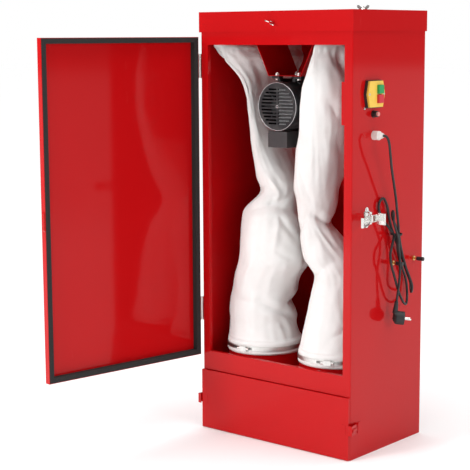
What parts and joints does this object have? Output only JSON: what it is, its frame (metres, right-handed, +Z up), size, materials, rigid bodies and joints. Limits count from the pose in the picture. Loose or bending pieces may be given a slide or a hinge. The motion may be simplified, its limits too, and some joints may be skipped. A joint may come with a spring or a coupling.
{
  "type": "bag filter dust collector",
  "caption": "Red sheet-metal dust collector cabinet: hinged door, pull-out dust drawer, cloth filter bags on collars, roof-hung fan motor, side latch, switch and cord.",
  "frame": {"origin": "middle of the underside of the base", "axes": "+X to the right seen from the door side, +Y to the back, +Z up"},
  "size_m": [0.717, 0.9434, 1.255],
  "materials": {
    "red_paint": "semi-gloss red powder coat",
    "motor_paint": "dark grey enamel",
    "bright_steel": "zinc-plated",
    "chrome_plate": "bright nickel or chrome plating",
    "shaft_steel": "turned steel",
    "lamination": "varnished laminations",
    "aluminium_cast": "as cast",
    "brass_rod": "turned",
    "filter_cloth": "white woven polyester felt",
    "foam_seal": "closed-cell foam strip",
    "cord_rubber": "semi-matt sheath",
    "plug_rubber": "moulded",
    "black_plastic": "fine texture",
    "white_plastic": "smooth",
    "yellow_plastic": "smooth",
    "green_plastic": "smooth",
    "red_plastic": "smooth",
    "pink_plastic": "translucent-looking cap"
  },
  "bodies": {
    "cabinet": {"side_left": "red_paint", "side_right": "red_paint", "header": "red_paint", "sill": "red_paint", "back_panel": "red_paint", "roof_panel": "red_paint", "cap": "red_paint", "base_pan": "red_paint", "tube_sheet": "red_paint", "bag_left": "filter_cloth", "bag_right": "filter_cloth", "hose_clamps": "bright_steel", "hanger_left": "bright_steel", "hanger_right": "bright_steel", "drawer_rails": "bright_steel", "motor_bracket": "red_paint", "motor_bolts": "bright_steel", "motor_frame": "motor_paint", "end_shields": "motor_paint", "stator": "lamination", "motor_cowl": "motor_paint", "terminal_box": "black_plastic", "fan_housing": "red_paint", "exhaust_grille": "red_paint", "inlet_spigot": "red_paint", "switch_base": "black_plastic", "switch_plate": "yellow_plastic", "switch_screws": "bright_steel", "switch_box": "red_paint", "breaker_body": "black_plastic", "coupler": "white_plastic", "peg_rods": "brass_rod", "peg_caps": "black_plastic", "latch_base": "chrome_plate", "hinge_leaves": "bright_steel", "strap_brackets": "red_paint", "cord_lead": "cord_rubber", "cord_hank": "cord_rubber", "cord_tie": "black_plastic", "cord_tail": "cord_rubber", "plug_body": "plug_rubber", "plug_pins": "chrome_plate"},
    "door": {"door_panel": "red_paint", "door_gasket": "foam_seal", "door_keeper": "red_paint", "door_hinges": "bright_steel"},
    "lever": {"latch_lever": "chrome_plate"},
    "hook": {"latch_hook": "chrome_plate"},
    "drawer": {"drawer_front": "red_paint", "drawer_tray": "red_paint"},
    "strap_left_arm": {"strap_left": "red_paint"},
    "strap_right_arm": {"strap_right": "red_paint"},
    "start": {"button_start": "green_plastic"},
    "stop": {"button_stop": "red_plastic"},
    "reset": {"button_reset": "pink_plastic"},
    "rotor": {"rotor_shaft": "shaft_steel", "cooling_fan": "black_plastic", "impeller": "aluminium_cast"},
    "front_nut": {"wing_nut_front": "chrome_plate"},
    "top_nut": {"wing_nut_top": "chrome_plate"}
  },
  "joints": [
    {"name": "door_hinge", "type": "hinge", "parent": "cabinet", "child": "door", "pos_m": [-0.274, -0.17875, 0.69], "axis": [0, 0, 1], "range_deg": [-66, 98.9]},
    {"name": "lever_pivot", "type": "hinge", "parent": "cabinet", "child": "lever", "pos_m": [0.283, -0.108, 0.676], "axis": [0, 0, 1], "range_deg": [-40, 90]},
    {"name": "hook_pivot", "type": "hinge", "parent": "lever", "child": "hook", "pos_m": [0.295, -0.1175, 0.676], "axis": [0, 0, 1], "range_deg": [-120, 54]},
    {"name": "drawer_slide", "type": "slide", "parent": "cabinet", "child": "drawer", "axis": [0, -1, 0], "range_m": [0, 0.28]},
    {"name": "strap_left_pivot", "type": "hinge", "parent": "cabinet", "child": "strap_left_arm", "pos_m": [-0.2755, -0.148, 0.089], "axis": [0, 0, -1], "range_deg": [-12, 100]},
    {"name": "strap_right_pivot", "type": "hinge", "parent": "cabinet", "child": "strap_right_arm", "pos_m": [0.2755, -0.148, 0.089], "axis": [0, 0, 1], "range_deg": [-12, 100]},
    {"name": "start_press", "type": "slide", "parent": "cabinet", "child": "start", "axis": [-1, 0, 0], "range_m": [0, 0.003], "stiffness_N_per_m": 300},
    {"name": "stop_press", "type": "slide", "parent": "cabinet", "child": "stop", "axis": [-1, 0, 0], "range_m": [0, 0.003], "stiffness_N_per_m": 300},
    {"name": "reset_press", "type": "slide", "parent": "cabinet", "child": "reset", "axis": [-1, 0, 0], "range_m": [0, 0.003], "stiffness_N_per_m": 300},
    {"name": "rotor_spin", "type": "hinge", "parent": "cabinet", "child": "rotor", "pos_m": [0, 0, 0.974], "axis": [0, 1, 0], "continuous": true},
    {"name": "front_nut_turn", "type": "hinge", "parent": "cabinet", "child": "front_nut", "pos_m": [0, -0.1832, 1.207], "axis": [0, -1, 0], "continuous": true},
    {"name": "top_nut_turn", "type": "hinge", "parent": "cabinet", "child": "top_nut", "pos_m": [0.175, 0.005, 1.24], "axis": [0, 0, 1], "continuous": true}
  ],
  "couplings": [
    {"joint": "hook_pivot", "follows": "lever_pivot", "ratio": -1.3311}
  ]
}
